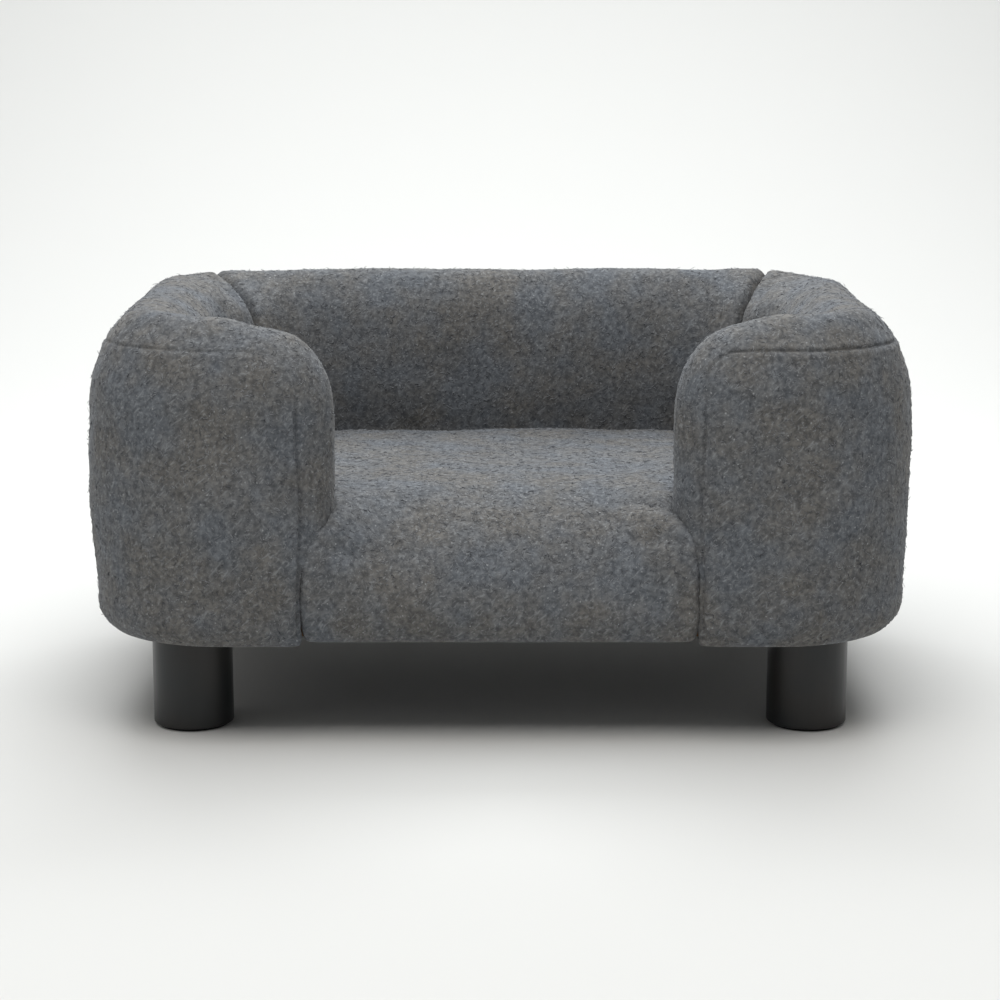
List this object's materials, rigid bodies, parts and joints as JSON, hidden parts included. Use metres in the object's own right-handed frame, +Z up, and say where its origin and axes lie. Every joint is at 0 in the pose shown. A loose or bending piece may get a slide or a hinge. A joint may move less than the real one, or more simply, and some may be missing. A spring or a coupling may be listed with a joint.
{
  "type": "pet sofa bed",
  "caption": "Low sofa-style pet bed: a padded C-shaped wall with hooked front returns round a padded seat, on short round legs.",
  "frame": {"origin": "on the floor, under the middle of the bed's bounding box", "axes": "+X to the bed's right as seen from its open front, +Y towards its back wall, +Z up"},
  "size_m": [0.61, 0.45, 0.31],
  "materials": {
    "wool_tweed": "matte",
    "foam": "matte",
    "wadding": "matte",
    "lining_cloth": "matte",
    "felt_pad": "matte",
    "pine": "matte",
    "plywood": "matte",
    "hardboard": "matte",
    "black_lacquered_wood": "satin",
    "zinc_steel": "satin"
  },
  "bodies": {
    "root": {"base_rail_cross": "pine", "base_rail_front": "pine", "base_rail_left": "pine", "base_rail_rear": "pine", "base_rail_right": "pine", "cover_back_roll": "wool_tweed", "cover_outer_back": "wool_tweed", "cover_outer_left": "wool_tweed", "cover_outer_right": "wool_tweed", "cover_seat": "wool_tweed", "cover_top_left": "wool_tweed", "cover_top_right": "wool_tweed", "dust_cover": "lining_cloth", "foam_back": "foam", "foam_return_left": "foam", "foam_return_right": "foam", "foam_seat": "foam", "foam_side_left": "foam", "foam_side_right": "foam", "frame_screws": "zinc_steel", "front_board": "hardboard", "glide_front_left": "felt_pad", "glide_front_right": "felt_pad", "glide_rear_left": "felt_pad", "glide_rear_right": "felt_pad", "hanger_bolts": "zinc_steel", "inner_board_back": "hardboard", "inner_board_return_left": "hardboard", "inner_board_return_right": "hardboard", "inner_board_side_left": "hardboard", "inner_board_side_right": "hardboard", "leg_block_front_left": "pine", "leg_block_front_right": "pine", "leg_block_rear_left": "pine", "leg_block_rear_right": "pine", "leg_front_left": "black_lacquered_wood", "leg_front_right": "black_lacquered_wood", "leg_rear_left": "black_lacquered_wood", "leg_rear_right": "black_lacquered_wood", "outer_board_back": "hardboard", "outer_board_left": "hardboard", "outer_board_right": "hardboard", "post_back_left": "pine", "post_back_right": "pine", "post_return_left": "pine", "post_return_right": "pine", "post_side_front_left": "pine", "post_side_front_right": "pine", "post_side_rear_left": "pine", "post_side_rear_right": "pine", "seat_deck": "plywood", "seat_wadding": "wadding", "staples": "zinc_steel", "tee_nuts": "zinc_steel", "wall_plate_back": "plywood", "wall_plate_left": "plywood", "wall_plate_right": "plywood"}
  },
  "joints": []
}
